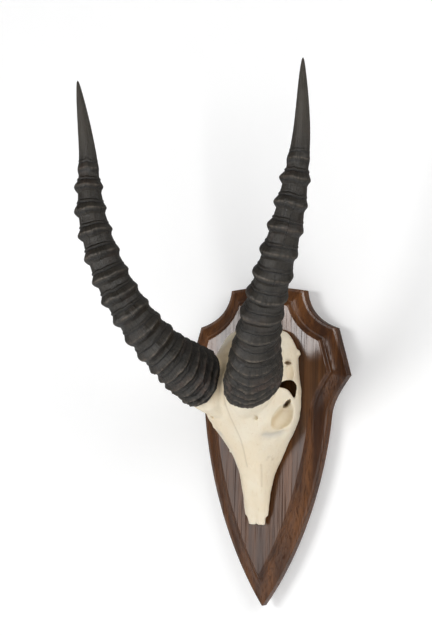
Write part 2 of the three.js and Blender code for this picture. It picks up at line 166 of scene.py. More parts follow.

# Seams, pits, hollows, stains and painted shade of the bone, on its right side
SUTURE = (
    (0, 101, 58), (0.4, 92, 40), (0.3, 81.7, 25), (0.4, 70, 12),
    (-0.2, 61.3, 1), (-0.9, 55.3, -8.5), (-1, 50, -20),
)
SUTURE_WIDTH = 0.75
NASAL_SEAM = ((13.7, 47.6, -17.6), (12.2, 43, -30), (11.3, 39.1, -40))
NASAL_SEAM_WIDTH = 0.7
PITS = ((21.9, 41.3, -10.3), (24.1, 36, -12.4), (20.2, 42, -13.2))
PIT_RADIUS = 1.7
# Hollow in front of each eye, sunk into the bone and given grey painted shade
TEAR_HOLLOW = ((26.5, 60, 12.5), (31.6, 53, 12.5), (37, 48, 14.6))
TEAR_WIDTH = 4.5
# Axes of the brow slit and the temple hole, along which shade is painted into these holes
SLIT_AXIS = ((37, 36, 43.5), (40, 41, 45), (43, 46, 46.5))
SLIT_WIDTH = 3.2
TEMPLE_HOLE_AXIS = ((36, 36, 86.5), (39, 40, 86.5), (41, 42.5, 86.5))
TEMPLE_HOLE_WIDTH = 3
BROW_KNOB = (45.3, 42, 44.4)
KNOB_RADIUS = 2.6
# Fossa axis, along which faint painted shade lies inside the fossa
FOSSA_AXIS = ((31, 20, 61), (34, 27, 61), (38, 34, 61))
FOSSA_WIDTH = 8
SOCKET = (40, 50, 28)
SOCKET_RADIUS = 13
# Rims of the eye socket as (across, up), seen from this many degrees to the right
SIDE_VIEW = 29
SOCKET_RIM = ((21.6, 40), (21.3, 33), (18.9, 25.7), (14, 20.5), (9, 18.8))
SOCKET_RIM_WIDTH = 4
# Brow edge over each eye socket, with a painted shadow line just inside it
SOCKET_EDGE = ((15, 44.5), (12.5, 41), (7, 34.5), (2, 28.5), (1.2, 24))
SOCKET_EDGE_WIDTH = 2.4
LOWER_RIM = ((34, 62, 20), (36.8, 55.6, 19.5), (41.4, 42, 20.5))
LOWER_RIM_WIDTH = 2.2
SEAM_DEPTH = 0.5
PIT_DEPTH = 1.1
TEAR_DEPTH = 1.7
RIM_LIFT = 1.0
KNOB_LIFT = 1.4
BONE_UNEVEN = ((9, 0.45), (2.6, 0.16))
SOFTEN_FACTOR = 0.5
BONE_SOFTEN_ROUNDS = 5
RIM_SOFTEN_ROUNDS = 45

# Fittings on the back
HANGER_Z = 120
RECESS = (60, 3, 20)
HANGER_SCREW_X = 22
HANGER_SCREW_HOLE = (1.5, 9.3)
SKULL_SCREW_Z = (84, 8)
SKULL_SCREW_HEAD = 5
SKULL_SCREW_SHANK = 2.2
SKULL_SCREW_DEPTH = 38
CLEARANCE = 0.3
MOULDING_SHARP_ANGLE = math.radians(28)

# Stage in metres: light boxes as (size, place)
STAGE_HALF_WIDTH = 4.0
FLOOR_Z = -0.75
WALL_GAP = 0.010
LIGHT_TARGET = (0, -0.05, 0.05)
KEY_BOX = ((0.84, 0.34), (-0.770, -1.808, 0.242))
LOW_PANEL = ((1.0, 0.36), (-0.86, -1.60, -0.25))
SIDE_FILL = ((1.3, 1.3), (1.60, -1.15, 0.85))
CAMERA_TARGET = (0, -0.060, 0)
CAMERA_SLIDE = (-0.0290, 0.13035)
CAMERA_CLIP = 0.05


def colour_property(name, description, default):
    return bpy.props.FloatVectorProperty(
        name=name, description=description, default=(*default, 1.0), size=4, min=0, max=1, subtype="COLOR")


def length_property(name, description, default):
    return bpy.props.FloatProperty(
        name=name, description=description, default=default, min=0, precision=4, unit="LENGTH")


def angle_property(name, description, degrees):
    return bpy.props.FloatProperty(
        name=name, description=description, default=math.radians(degrees), subtype="ANGLE")


def power_property(name, description, default):
    return bpy.props.FloatProperty(
        name=name, description=description, default=default, min=0, unit="POWER")


class MountSizes(bpy.types.PropertyGroup):
    """Sizes of the shield, horns and skull."""

    shield_height: length_property("Shield Height", "Crest to tip", SHIELD_HIGH.z - SHIELD_LOW.z)
    ring_height: length_property("Ring Height", "How far a full ring stands out", RING_HEIGHT * MM)
    saw_height: length_property("Back Step", "Step of the rings on the back of the horn", 1.7 * MM)
    crease_depth: length_property("Crease Depth", "Groove above each ring", 0.8 * MM)
    wrinkle_depth: length_property("Wrinkle Depth", "Rough growth lines by the horn base", 1.2 * MM)
    streak_depth: length_property("Streak Depth", "Lengthwise streaks on the horn", 0.34 * MM)
    bone_voxel: length_property("Bone Detail", "Size of the finest step in the skull mesh", 0.9 * MM)


class MountFinishes(bpy.types.PropertyGroup):
    """Colours of the wood, bone, horn and metal."""

    wood_dark: colour_property("Dark Wood", "Late wood and pores", (0.040, 0.0135, 0.0040))
    wood_warm: colour_property("Warm Wood", "Early wood between the grain lines", (0.165, 0.060, 0.0140))
    bone_cream: colour_property("Bone", "Clean bone", (0.77, 0.665, 0.495))
    bone_pale: colour_property("Pale Bone", "Bleached patches", (0.81, 0.735, 0.59))
    # Tan of real stains and streaks, also used as painted shade between the horns and under the brow edge in
    # the eye sockets
    bone_stain_and_shade: colour_property("Stain And Painted Shade", "Bone between the horns", (0.52, 0.37, 0.18))
    bone_amber: colour_property("Amber Bone", "Bone inside the eye sockets", (0.78, 0.62, 0.36))
    # Dark of the seams, also used for the darkened pits and as painted shade inside the brow slit, temple hole
    # and fossa
    bone_seam_and_hole_shade: colour_property("Seam", "Lines where the bones meet", (0.20, 0.115, 0.048))
    # Grey painted shade in the hollow in front of each eye
    bone_hollow_shade: colour_property("Painted Hollow Shade", "Thin grey bone in front of the eyes", (0.55, 0.53, 0.48))
    horn_dark: colour_property("Dark Horn", "Horn sheath", (0.0150, 0.0122, 0.0085))
    horn_worn: colour_property("Worn Horn", "Rubbed rings and streaks", (0.060, 0.050, 0.037))
    # Paler crests: partly rubbed bare horn, partly a painted highlight line along each ring's crest
    horn_rubbed_and_highlight: colour_property("Rubbed Horn And Highlight", "Bare crests of the rings", (0.17, 0.135, 0.10))
    horn_brown: colour_property("Brown Horn", "Creases and patches near the base", (0.070, 0.040, 0.028))
    # Near-black painted shade in the creases above and under each ring
    horn_crease_shade: colour_property("Painted Crease Shade", "Grooves by the rings", (0.006, 0.0048, 0.0038))
    steel: colour_property("Steel", "Hanger and its screws", (0.58, 0.58, 0.57))
    brass: colour_property("Brass", "Skull screws", (0.62, 0.42, 0.15))
    wall: colour_property("Wall", "Backdrop and floor", (0.90, 0.90, 0.90))


class MountStage(bpy.types.PropertyGroup):
    """Camera and light."""

    azimuth: angle_property("Azimuth", "Camera turn to the right", 29.15)
    elevation: angle_property("Elevation", "Camera height angle", -2.08)
    roll: angle_property("Roll", "Camera roll", 1.1)
    distance: length_property("Distance", "Camera to its target", 1.6958)
    view_angle: angle_property("View Angle", "Vertical angle of view", 21.48)
    key_power: power_property("Key", "Softbox on the left", 13.2)
    fill_power: power_property("Fill", "Weak light from the right", 20)
    low_power: power_property("Low Panel", "Weak panel low on the left", 2.7)
    glow: bpy.props.FloatProperty(
        name="Wall Glow", description="Own light of the white wall", default=0.16, min=0)
    sky: bpy.props.FloatProperty(
        name="Room Light", description="Even light of the room", default=0.17, min=0)


class MountSettings(bpy.types.PropertyGroup):
    """Everything that the panel shows."""

    sizes: bpy.props.PointerProperty(type=MountSizes)
    finishes: bpy.props.PointerProperty(type=MountFinishes)
    stage: bpy.props.PointerProperty(type=MountStage)


# Curves and lines of points

def point(x, out, z):
    return np.array((x, -out, z), float)


def spread(line, count):
    """Evenly spaced points along a line of points."""
    line = np.asarray(line, float)
    steps = np.linalg.norm(np.diff(line, axis=0), axis=1)
    along = np.concatenate(([0], np.cumsum(steps)))
    even = np.linspace(0, along[-1], count)
    return np.stack([np.interp(even, along, column) for column in line.T], axis=1)


def smooth_line(points, count, fine=24):
    """Evenly spaced points on a centripetal curve through the given ones."""
    points = np.asarray(points, float)
    padded = np.vstack([2 * points[0] - points[1], points, 2 * points[-1] - points[-2]])
    t = np.linspace(0, 1, fine, endpoint=False)[:, None]
    pieces = []
    for p0, p1, p2, p3 in zip(padded, padded[1:], padded[2:], padded[3:]):
        a, b, c = (math.sqrt(np.linalg.norm(q - p)) for p, q in ((p0, p1), (p1, p2), (p2, p3)))
        start = ((p1 - p0) / a - (p2 - p0) / (a + b) + (p2 - p1) / b) * b
        end = ((p2 - p1) / b - (p3 - p1) / (b + c) + (p3 - p2) / c) * b
        pieces.append(
            (2 * t**3 - 3 * t**2 + 1) * p1 + (t**3 - 2 * t**2 + t) * start
            + (3 * t**2 - 2 * t**3) * p2 + (t**3 - t**2) * end)
    return spread(np.vstack([*pieces, points[-1:]]), count)


def bezier(*pulls, fine=200):
    """Points on a Bezier curve of any degree."""
    t = np.linspace(0, 1, fine)[:, None]
    degree = len(pulls) - 1
    shares = [math.comb(degree, k) * (1 - t) ** (degree - k) * t**k for k in range(degree + 1)]
    return sum(share * np.asarray(pull, float) for share, pull in zip(shares, pulls))


def smooth_step(value, low=0.0, high=1.0):
    t = np.clip((value - low) / (high - low), 0, 1)
    return t * t * (3 - 2 * t)


def steady_table(rows, at):
    """Columns of a table read at new places of its first column, smooth and without overshoot."""
    table = np.asarray(rows, float)
    x, y = table[:, 0], table[:, 1:]
    gap = np.diff(x)[:, None]
    slope = np.diff(y, axis=0) / gap
    product = slope[1:] * slope[:-1]
    inner = np.where(product > 0, 2 * product / (slope[1:] + slope[:-1] + 1e-12), 0)
    tangent = np.vstack([slope[:1], inner, slope[-1:]])
    k = np.clip(np.searchsorted(x, at, side="right") - 1, 0, len(x) - 2)
    t = ((at - x[k]) / gap[k, 0])[:, None]
    return (
        (2 * t**3 - 3 * t**2 + 1) * y[k] + (t**3 - 2 * t**2 + t) * gap[k] * tangent[k]
        + (3 * t**2 - 2 * t**3) * y[k + 1] + (t**3 - t**2) * gap[k] * tangent[k + 1])


# Meshes

def link(name, mesh):
    piece = bpy.data.objects.new(name, mesh)
    bpy.context.scene.collection.objects.link(piece)
    return piece


def make_piece(name, vertices, faces):
    """Object from points in millimetres, with its faces turned outwards."""
    mesh = bpy.data.meshes.new(name)
    mesh.from_pydata((np.asarray(vertices, float) * MM).tolist(), [], faces)
    face_out(mesh)
    return link(name, mesh)


def face_out(mesh):
    work = bmesh.new()
    work.from_mesh(mesh)
    bmesh.ops.recalc_face_normals(work, faces=work.faces)
    work.to_mesh(mesh)
    work.free()


def loft(name, rings):
    """Closed skin over a stack of rings with equal counts of points."""
    rings = np.asarray(rings, float)
    rows, count = rings.shape[:2]
    faces = []
    for row in range(rows - 1):
        for k in range(count):
            a = row * count + k
            b = row * count + (k + 1) % count
            faces.append((a, b, b + count, a + count))
    faces.append(tuple(range(count)))
    faces.append(tuple(range((rows - 1) * count, rows * count)))
    return make_piece(name, rings.reshape(-1, 3), faces)


def ball(name, centre, radii, yaw=0, roll=0, side=1):
    """Ellipsoid, turned about Z by yaw and about its own depth by roll, in degrees."""
    work = bmesh.new()
    bmesh.ops.create_icosphere(work, subdivisions=4, radius=1)
    spot = Matrix.Translation(Vector(point(*centre)) * MM)
    turn = Matrix.Rotation(math.radians(yaw), 4, "Z") @ Matrix.Rotation(math.radians(roll), 4, "Y")
    place = Matrix.Diagonal((side, 1, 1, 1)) @ spot @ turn @ Matrix.Diagonal((*(r * MM for r in radii), 1))
    bmesh.ops.transform(work, matrix=place, verts=work.verts)
    bmesh.ops.recalc_face_normals(work, faces=work.faces)
    mesh = bpy.data.meshes.new(name)
    work.to_mesh(mesh)
    work.free()
    return link(name, mesh)


def spike(name, foot, tip, radius, side=1, sides=20):
    """Cone between two points with a blunt end."""
    foot, tip = (point(side * x, out, z) for x, out, z in (foot, tip))
    axis = (tip - foot) / np.linalg.norm(tip - foot)
    across = np.cross(axis, (0, 1, 0))
    across /= np.linalg.norm(across)
    upward = np.cross(across, axis)
    angles = np.linspace(0, math.tau, sides, endpoint=False)
    rings = []
    for centre, size in ((foot, radius), (tip, 0.35 * radius)):
        rings.append([centre + (across * math.cos(a) + upward * math.sin(a)) * size for a in angles])
    return loft(name, rings)


def box(name, size, centre):
    work = bmesh.new()
    bmesh.ops.create_cube(work, size=1)
    spot = Matrix.Translation(Vector(point(*centre)) * MM)
    bmesh.ops.transform(work, matrix=spot @ Matrix.Diagonal((*(s * MM for s in size), 1)), verts=work.verts)
    mesh = bpy.data.meshes.new(name)
    work.to_mesh(mesh)
    work.free()
    return link(name, mesh)


def turned(name, x, z, profile, sides=40):
    """Round piece along Y from (radius, out) pairs."""
    angles = np.linspace(0, math.tau, sides, endpoint=False)
    rings = [[point(x + r * math.cos(a), out, z + r * math.sin(a)) for a in angles] for r, out in profile]
    return loft(name, rings)


def settle(piece):
    """Bakes the modifiers into a plain mesh."""
    graph = bpy.context.evaluated_depsgraph_get()
    mesh = bpy.data.meshes.new_from_object(piece.evaluated_get(graph))
    piece.modifiers.clear()
    piece.data = mesh
    return piece


def cut(piece, cutters, operation="DIFFERENCE"):
    for cutter in cutters:
        change = piece.modifiers.new(cutter.name, "BOOLEAN")
        change.operation = operation
        change.solver = "EXACT"
        change.object = cutter
    settle(piece)
    for cutter in cutters:
        bpy.data.objects.remove(cutter)
    if not piece.data.polygons:
        raise RuntimeError(f"cutting {piece.name} left nothing")
    return piece


def shade(piece, material, angle=None):
    """Smooth shading, with edges sharper than the angle kept crisp, and one material."""
    mesh = piece.data
    mesh.materials.clear()
    mesh.materials.append(material)
    mesh.polygons.foreach_set("use_smooth", [True] * len(mesh.polygons))
    if angle is not None:
        mesh.set_sharp_from_angle(angle=angle)


def hand_over(piece, slot, *nodes):
    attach(piece, BODY)
    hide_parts(*nodes)


# Node trees

class Graph:
    """Short ways to add linked nodes to one tree."""

    def __init__(self, tree):
        self.tree = tree

    def feed(self, socket, value):
        if isinstance(value, bpy.types.NodeSocket):
            self.tree.links.new(value, socket)
        elif value is not None:
            socket.default_value = value

    def add(self, kind, *inputs, named=None, **settings):
        node = self.tree.nodes.new(kind)
        for key, value in settings.items():
            setattr(node, key, value)
        for socket, value in zip(node.inputs, inputs):
            self.feed(socket, value)
        for key, value in (named or {}).items():
            self.feed(node.inputs[key], value)
        return node

    def math(self, operation, *inputs):
        return self.add("ShaderNodeMath", *inputs, operation=operation).outputs[0]

    def chain(self, operation, first, *others):
        for other in others:
            first = self.math(operation, first, other)
        return first

    def plus(self, *values):
        return self.chain("ADD", *values)

    def minus(self, *values):
        return self.chain("SUBTRACT", *values)

    def times(self, *values):
        return self.chain("MULTIPLY", *values)

    def over(self, *values):
        return self.chain("DIVIDE", *values)

    def vector(self, operation, *inputs):
        return self.add("ShaderNodeVectorMath", *inputs, operation=operation).outputs["Vector"]

    def stored(self, name, output="Fac"):
        """Value that the mesh carries under this name."""
        return self.add("ShaderNodeAttribute", attribute_name=name).outputs[output]

    def scaled(self, vector, scale):
        node = self.add("ShaderNodeVectorMath", vector, None, None, scale, operation="SCALE")
        return node.outputs["Vector"]

    def join(self, x, y, z):
        return self.add("ShaderNodeCombineXYZ", x, y, z).outputs[0]

    def noise(self, vector, scale=1.0, detail=2.0, roughness=0.5):
        named = {"Vector": vector, "Scale": scale, "Detail": detail, "Roughness": roughness}
        return self.add("ShaderNodeTexNoise", named=named).outputs[0]

    def ease(self, value, low, high, start=0.0, end=1.0):
        named = {"Value": value, "From Min": low, "From Max": high, "To Min": start, "To Max": end}
        return self.add("ShaderNodeMapRange", named=named, interpolation_type="SMOOTHSTEP").outputs[0]

    def bell(self, value, centre, width):
        """A bump of height one around centre."""
        off = self.over(self.minus(value, centre), width)
        return self.math("EXPONENT", self.times(off, off, -1.0))

    def blend(self, factor, first, second):
        node = self.tree.nodes.new("ShaderNodeMix")
        node.data_type = "RGBA"
        self.feed(node.inputs["Factor"], factor)
        for key, value in (("A", first), ("B", second)):
            socket = next(s for s in node.inputs if s.name == key and s.type == "RGBA")
            self.feed(socket, value)
        return next(s for s in node.outputs if s.type == "RGBA")


def new_material(name):
    material = bpy.data.materials.new(name)
    material.use_nodes = True
    material.node_tree.nodes.clear()
    graph = Graph(material.node_tree)
    surface = graph.add("ShaderNodeBsdfPrincipled")
    output = graph.add("ShaderNodeOutputMaterial")
    graph.tree.links.new(surface.outputs[0], output.inputs["Surface"])
    return material, graph, surface


def dress(graph, surface, **values):
    """Sets or links sockets of the surface shader by name, with _ for spaces."""
    for key, value in values.items():
        graph.feed(surface.inputs[key.replace("_", " ")], value)


def stretched(graph, scale, source=None):
    """Texture place with its own scale on each axis."""
    place = source or graph.add("ShaderNodeTexCoord").outputs["Object"]
    return graph.add("ShaderNodeMapping", named={"Vector": place, "Scale": scale}).outputs[0]


def grained(graph, scale, detail, roughness=0.5, source=None):
    """Noise drawn out by its own scale on each axis."""
    return graph.noise(stretched(graph, scale, source), 1.0, detail, roughness)


def bump(graph, height, distance, strength):
    named = {"Height": height, "Distance": distance, "Strength": strength}
    return graph.add("ShaderNodeBump", named=named).outputs[0]


def varnished_wood(finishes):
    material, graph, surface = new_material("varnished_dark_wood")
    bend = grained(graph, (14, 14, 3), 2.0)
    drift = graph.scaled(graph.join(bend, bend, 0.0), 0.9)
    figure_place = graph.vector("ADD", stretched(graph, (70, 70, 3.2)), drift)
    figure = graph.noise(figure_place, 1.0, 4.0, 0.55)
    fibre = grained(graph, (520, 520, 5), 4.0, 0.65)
    pores = grained(graph, (900, 900, 9), 3.0, 0.6)
    pore_mask = graph.ease(pores, 0.53, 0.64)
    tone = graph.ease(figure, 0.30, 0.72)
    colour = graph.blend(tone, finishes.wood_dark, finishes.wood_warm)
    colour = graph.blend(graph.ease(fibre, 0.35, 0.70, 0.0, 0.45), colour, finishes.wood_dark)
    colour = graph.blend(graph.times(pore_mask, 0.75), colour, finishes.wood_dark)
    relief = graph.minus(graph.times(fibre, 0.35), pore_mask)
    rough = graph.ease(relief, -0.8, 0.3, 0.60, 0.28)
    normal = bump(graph, relief, 0.0002, 0.6)
    varnish = graph.ease(relief, -0.55, 0.2, 0.12, 0.80)
    dress(graph, surface, Base_Color=colour, Roughness=rough, Normal=normal, Coat_Weight=varnish)
    dress(graph, surface, Coat_Roughness=0.2, Specular_IOR_Level=0.12)
    return material


def old_bone(finishes):
    material, graph, surface = new_material("old_bone")
    clouds = grained(graph, (26, 26, 20), 4.0, 0.55)
    speckle = grained(graph, (260, 260, 190), 3.0, 0.6)
    streaks = grained(graph, (430, 430, 28), 3.0, 0.6)
    grain = grained(graph, (1300, 1300, 1300), 2.0, 0.5)
    bleach = graph.ease(clouds, 0.35, 0.68)
    colour = graph.blend(bleach, finishes.bone_cream, finishes.bone_pale)
    colour = graph.blend(graph.ease(speckle, 0.60, 0.85, 0.0, 0.22), colour, finishes.bone_stain_and_shade)
    colour = graph.blend(graph.ease(streaks, 0.54, 0.80, 0.0, 0.32), colour, finishes.bone_stain_and_shade)
    patchy = graph.ease(clouds, 0.25, 0.75, 0.7, 1.15)
    # Grey painted shade in the hollow in front of the eyes
    colour = graph.blend(graph.times(graph.stored("hollow_shade"), patchy), colour, finishes.bone_hollow_shade)
    colour = graph.blend(graph.times(graph.stored("amber"), patchy), colour, finishes.bone_amber)
    # Tan of the stain mask: partly a real stain, partly painted shade between the horns and under the brow
    # edge of the eye sockets
    colour = graph.blend(graph.times(graph.stored("stain_and_painted_shade"), patchy), colour, finishes.bone_stain_and_shade)
    # Seam colour: real seams, darkened pits, and painted shade inside the brow slit, temple hole and fossa
    colour = graph.blend(graph.stored("seam"), colour, finishes.bone_seam_and_hole_shade)
    relief = graph.plus(graph.times(streaks, 0.6), graph.times(grain, 0.25))
    relief = graph.plus(relief, graph.times(speckle, 0.5))
    normal = bump(graph, relief, 0.0005, 0.6)
    rough = graph.ease(speckle, 0.3, 0.7, 0.48, 0.66)
    dress(graph, surface, Base_Color=colour, Roughness=rough, Normal=normal)
    dress(graph, surface, Subsurface_Weight=0.08, Subsurface_Radius=(0.004, 0.0025, 0.0015))
    return material


def dark_horn(finishes):
    material, graph, surface = new_material("dark_horn")
    along = graph.stored("grain", "Vector")
    crest_wear_and_highlight, crease_shade, foot = (graph.stored(name) for name in ("crest_wear_and_highlight", "crease_shade", "foot"))
    streak = grained(graph, (7, 7, 26), 4.0, 0.6, along)
    hairline = grained(graph, (26, 26, 40), 3.0, 0.6, along)
    clouds = grained(graph, (55, 55, 55), 3.0, 0.55)
    pits = grained(graph, (650, 650, 650), 3.0, 0.6)
    lift = graph.times(graph.ease(streak, 0.35, 0.75), 0.5)
    colour = graph.blend(lift, finishes.horn_dark, finishes.horn_worn)
    # Lighter line on each ring crest: partly wear, partly painted highlight
    rubbed_and_highlight = graph.times(crest_wear_and_highlight, graph.ease(streak, 0.40, 0.66, 0.08, 0.6))
    colour = graph.blend(rubbed_and_highlight, colour, finishes.horn_rubbed_and_highlight)
    height = graph.add("ShaderNodeSeparateXYZ", along).outputs["Z"]
    colour = graph.blend(graph.ease(height, 0.245, 0.30, 0.0, 0.6), colour, finishes.horn_worn)
    brown = graph.times(graph.ease(clouds, 0.52, 0.72), graph.plus(graph.times(foot, 0.5), 0.2))
    colour = graph.blend(brown, colour, finishes.horn_brown)
    # Painted shade darkens the creases above and under each ring
    colour = graph.blend(graph.times(crease_shade, 0.85), colour, finishes.horn_crease_shade)
    colour = graph.blend(graph.ease(hairline, 0.56, 0.80, 0.0, 0.6), colour, finishes.horn_dark)
    relief = graph.plus(graph.times(hairline, 0.6), graph.times(pits, 0.4))
    rough = graph.ease(graph.plus(streak, graph.times(foot, 0.25)), 0.3, 0.9, 0.27, 0.50)
    dress(graph, surface, Base_Color=colour, Roughness=rough, Normal=bump(graph, relief, 0.0016, 0.7))
    dress(graph, surface, Specular_IOR_Level=0.5)
    return material


def worn_metal(name, colour, rough_low, rough_high):
    material, graph, surface = new_material(name)
    clouds = grained(graph, (320, 320, 320), 4.0, 0.6)
    brushed = grained(graph, (120, 2200, 2200), 2.0, 0.5)
    dull = (*(0.55 * c for c in colour[:3]), 1.0)
    shade_mask = graph.ease(clouds, 0.5, 0.75, 0.0, 0.6)
    dress(graph, surface, Base_Color=graph.blend(shade_mask, colour, dull), Metallic=1.0)
    dress(graph, surface, Roughness=graph.ease(clouds, 0.3, 0.7, rough_low, rough_high))
    dress(graph, surface, Normal=bump(graph, brushed, 0.00003, 0.4))
    return material


# Shield

def shield_runs():
    """Outline of the right half, parted at the sharp corners."""
    flank = np.vstack([
        bezier(SHOULDER_BOTTOM, *WAIST_PULLS, WAIST)[:-1],
        bezier(WAIST, *FLANK_PULLS, TIP),
    ])
    return [
        bezier(CREST, TOP_ARCH_BULGE, TOP_CORNER),
        bezier(TOP_CORNER, SCALLOP_PULL, SHOULDER_TOP),
        bezier(SHOULDER_TOP, SHOULDER_BOTTOM),
        flank,
    ]


def crossing(first, second):
    """Where two lines of points cross: the segment of each and the point, or None."""
    for i in range(len(first) - 2, -1, -1):
        u = first[i + 1] - first[i]
        v = np.diff(second, axis=0)
        w = second[:-1] - first[i]
        area = u[0] * v[:, 1] - u[1] * v[:, 0]
        area = np.where(np.abs(area) < 1e-12, 1e-12, area)
        s = (w[:, 0] * v[:, 1] - w[:, 1] * v[:, 0]) / area
        t = (w[:, 0] * u[1] - w[:, 1] * u[0]) / area
        hits = np.flatnonzero((s >= 0) & (s <= 1) & (t >= 0) & (t <= 1))
        if len(hits):
            j = int(hits[0])
            return i, j, first[i] + u * s[j]
    return None


def inset_outline(inset):
    """The whole outline moved inwards and mitred at its corners."""
    lines = []
    for run in shield_runs():
        line = spread(run, INSET_STEPS)
        along = np.gradient(line, axis=0)
        along /= np.linalg.norm(along, axis=1)[:, None]
        lines.append(line + np.stack([along[:, 1], -along[:, 0]], axis=1) * inset)
    lines.append(np.array([(0.0, CREST[1] + 1), (0.0, TIP[1] - 1)]))
    for k in range(len(lines) - 1):
        met = crossing(lines[k], lines[k + 1]) if inset > 0 else None
        if met:
            i, j, at = met
            lines[k] = np.vstack([lines[k][:i + 1], at])
            if k + 2 < len(lines):
                lines[k + 1] = np.vstack([at, lines[k + 1][j + 1:]])
    right = [spread(line, steps + 1)[1:] for line, steps in zip(lines, RUN_STEPS)]
    right = np.vstack([(0.0, lines[0][0][1]), *right])
    right[-1, 0] = 0
    left = right[1:-1][::-1] * (-1, 1)
    return np.vstack([right, left])


def make_shield(settings):
    scale = settings.sizes.shield_height / (CREST[1] - TIP[1]) / MM
    rings = [[point(x * scale, out, z * scale) for x, z in inset_outline(inset)] for inset, out in MOULDING]
    shield = loft("shield_board", rings)
    cutters = [box("recess", (RECESS[0], RECESS[1] * 2, RECESS[2]), (0, 0, HANGER_Z))]
    radius, depth = HANGER_SCREW_HOLE
    for side in (-1, 1):
        cutters.append(turned("pilot", side * HANGER_SCREW_X, HANGER_Z, [(radius, -1), (radius, depth)], 24))
    head = SKULL_SCREW_HEAD + CLEARANCE
    shank = SKULL_SCREW_SHANK + CLEARANCE
    for z in SKULL_SCREW_Z:
        profile = [(head + 1, -1), (shank, head - shank), (shank, SHIELD_THICK + 1)]
        cutters.append(turned("screw_way", 0, z, profile))
    cut(shield, cutters)
    shade(shield, varnished_wood(settings.finishes), MOULDING_SHARP_ANGLE)
    hand_over(shield, "dark_wood", "shield")


# Horns

def horn_spine(side):
    """Points on the centre line with axis, front and inner directions, free of twist."""
    last = len(HORN_PATH) - 1
    path = []
    for k, (x, out, z) in enumerate(HORN_PATH):
        share = k / last
        wide = x + BASE_SPREAD[side] * (1 - share) ** 2
        path.append(point(side * wide, out, z + TIP_RISE[side] * share**2))
    centres = smooth_line(path, SPINE_POINTS)
    axes = np.gradient(centres, axis=0)
    axes /= np.linalg.norm(axes, axis=1)[:, None]
    fronts = np.zeros_like(axes)
    front = point(0, 1, 0)
    for k in range(SPINE_POINTS - 1, -1, -1):
        front = front - axes[k] * front.dot(axes[k])
        front /= np.linalg.norm(front)
        fronts[k] = front
    return centres, axes, fronts, np.cross(fronts, axes) * side


def point_attribute(mesh, name, values):
    values = np.asarray(values, np.float32)
    kind, key = ("FLOAT", "value") if values.ndim == 1 else ("FLOAT_VECTOR", "vector")
    mesh.attributes.new(name, kind, "POINT").data.foreach_set(key, values.ravel())


def spine_object(side):
    centres, _, fronts, inners = horn_spine(side)
    mesh = bpy.data.meshes.new("horn_spine")
    mesh.from_pydata((centres * MM).tolist(), [(k, k + 1) for k in range(SPINE_POINTS - 1)], [])
    point_attribute(mesh, "front", fronts)
    point_attribute(mesh, "inner", inners)
    return link("right_horn_sheath" if side > 0 else "left_horn_sheath", mesh)


def ring_object():
    """One point for each ring of the horn, with its own height and length."""
    stations = np.array(RING_STATIONS, float)
    gaps = np.diff(stations)
    below = np.concatenate(([stations[0] * 2], gaps))
    above = np.concatenate((gaps, [HORN_LENGTH - stations[-1]]))
    share = RING_HEIGHT_BASE / RING_HEIGHT
    height = share + (1 - share) * smooth_step(stations, 0, RING_FULL_FROM)
    height[-1] = RING_HEIGHT_TOP / RING_HEIGHT
    mesh = bpy.data.meshes.new("horn_rings")
    mesh.from_pydata([(s * MM, 0, 0) for s in stations], [], [])
    point_attribute(mesh, "station", stations * MM)
    point_attribute(mesh, "height", height)
    point_attribute(mesh, "half", np.minimum(np.minimum(below, above) / 2, RING_HALF_LENGTH) * MM)
    point_attribute(mesh, "above", above * MM)
    point_attribute(mesh, "below", below * MM)
    return link("horn_rings", mesh)


